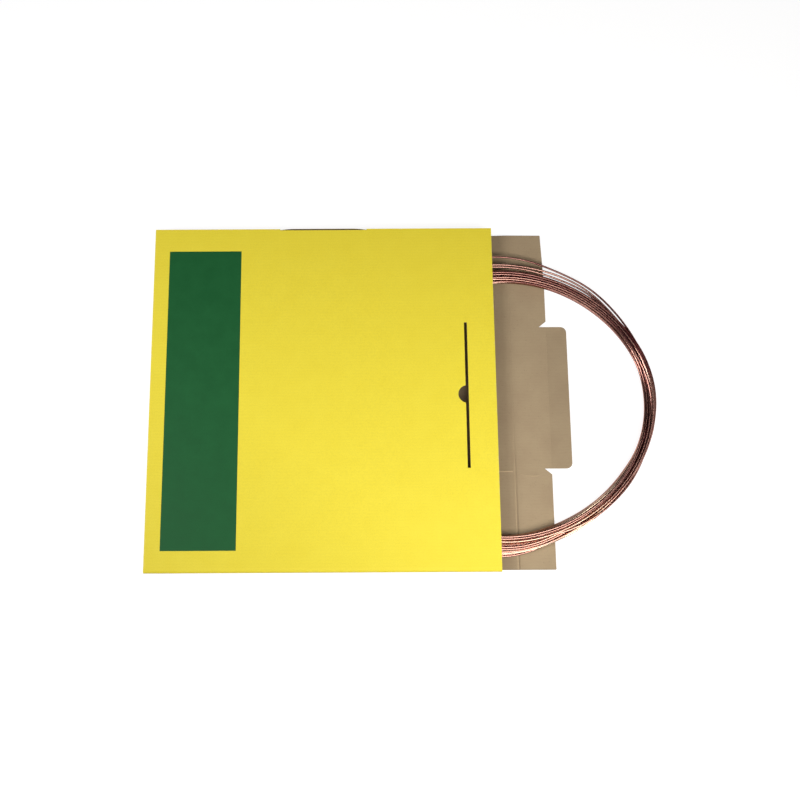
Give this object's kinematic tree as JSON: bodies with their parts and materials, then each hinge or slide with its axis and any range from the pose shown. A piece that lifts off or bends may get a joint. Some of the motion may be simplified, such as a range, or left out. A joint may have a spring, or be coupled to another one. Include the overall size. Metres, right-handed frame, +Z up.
{
  "type": "copper tube coil",
  "caption": "Round coil of thin soft copper capillary tube, half drawn from a flat corrugated carton whose mouth flap with lock tongue lies folded out.",
  "frame": {"origin": "middle of the carton's underside, on the floor", "axes": "+X from the carton's closed end to its open mouth, +Z up from its back panel to its front panel, +Y towards the long wall with the side slit"},
  "size_m": [0.5132, 0.352, 0.02],
  "materials": {
    "printed_board": "matt printed outside, bare kraft inside",
    "copper": "soft drawn copper, slightly dulled"
  },
  "bodies": {
    "root": {"carton": "printed_board", "tube_coil": "copper"}
  },
  "joints": []
}
